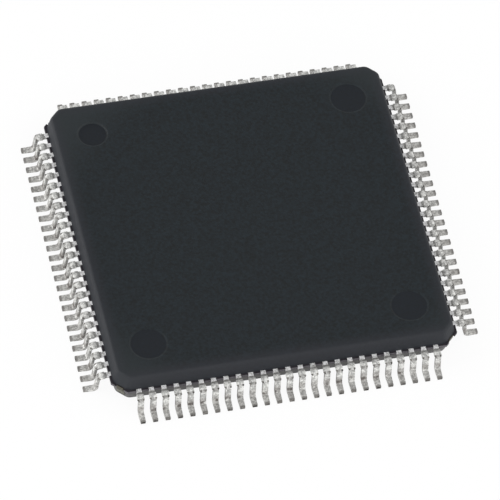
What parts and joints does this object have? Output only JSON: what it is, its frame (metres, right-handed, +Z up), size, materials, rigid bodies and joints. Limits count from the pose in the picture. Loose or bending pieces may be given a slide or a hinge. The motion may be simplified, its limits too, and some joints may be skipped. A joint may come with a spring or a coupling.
{
  "type": "quad flat pack chip",
  "caption": "Low-profile quad flat pack chip: thin square moulded epoxy body with cut corners, and fine-pitch gull-wing leads along all four sides.",
  "frame": {"origin": "centre of the square body, on the seating plane that the undersides of the feet lie in", "axes": "+Z up, out of the top face; the mark by lead 1 is at the -X, +Y corner, and the leads are numbered anticlockwise from there, seen from above: -X side, -Y side, +X side, +Y side"},
  "size_m": [0.016, 0.016, 0.0015],
  "materials": {
    "mould_compound": "matte moulded epoxy with a fine spark-eroded texture",
    "tinned_lead": "matte tin plate over copper alloy",
    "bare_copper": "bare stamped copper alloy",
    "silver_adhesive": "cured silver-filled epoxy",
    "silicon": "polished silicon",
    "gold_wire": "drawn gold wire"
  },
  "bodies": {
    "root": {"package_body": "mould_compound", "die_paddle": "bare_copper", "die_attach": "silver_adhesive", "silicon_die": "silicon", "leads_001_005": "tinned_lead", "leads_006_010": "tinned_lead", "leads_011_015": "tinned_lead", "leads_016_020": "tinned_lead", "leads_021_025": "tinned_lead", "leads_026_030": "tinned_lead", "leads_031_035": "tinned_lead", "leads_036_040": "tinned_lead", "leads_041_045": "tinned_lead", "leads_046_050": "tinned_lead", "leads_051_055": "tinned_lead", "leads_056_060": "tinned_lead", "leads_061_065": "tinned_lead", "leads_066_070": "tinned_lead", "leads_071_075": "tinned_lead", "leads_076_080": "tinned_lead", "leads_081_085": "tinned_lead", "leads_086_090": "tinned_lead", "leads_091_095": "tinned_lead", "leads_096_100": "tinned_lead", "wires_001_005": "gold_wire", "wires_006_010": "gold_wire", "wires_011_015": "gold_wire", "wires_016_020": "gold_wire", "wires_021_025": "gold_wire", "wires_026_030": "gold_wire", "wires_031_035": "gold_wire", "wires_036_040": "gold_wire", "wires_041_045": "gold_wire", "wires_046_050": "gold_wire", "wires_051_055": "gold_wire", "wires_056_060": "gold_wire", "wires_061_065": "gold_wire", "wires_066_070": "gold_wire", "wires_071_075": "gold_wire", "wires_076_080": "gold_wire", "wires_081_085": "gold_wire", "wires_086_090": "gold_wire", "wires_091_095": "gold_wire", "wires_096_100": "gold_wire"}
  },
  "joints": []
}
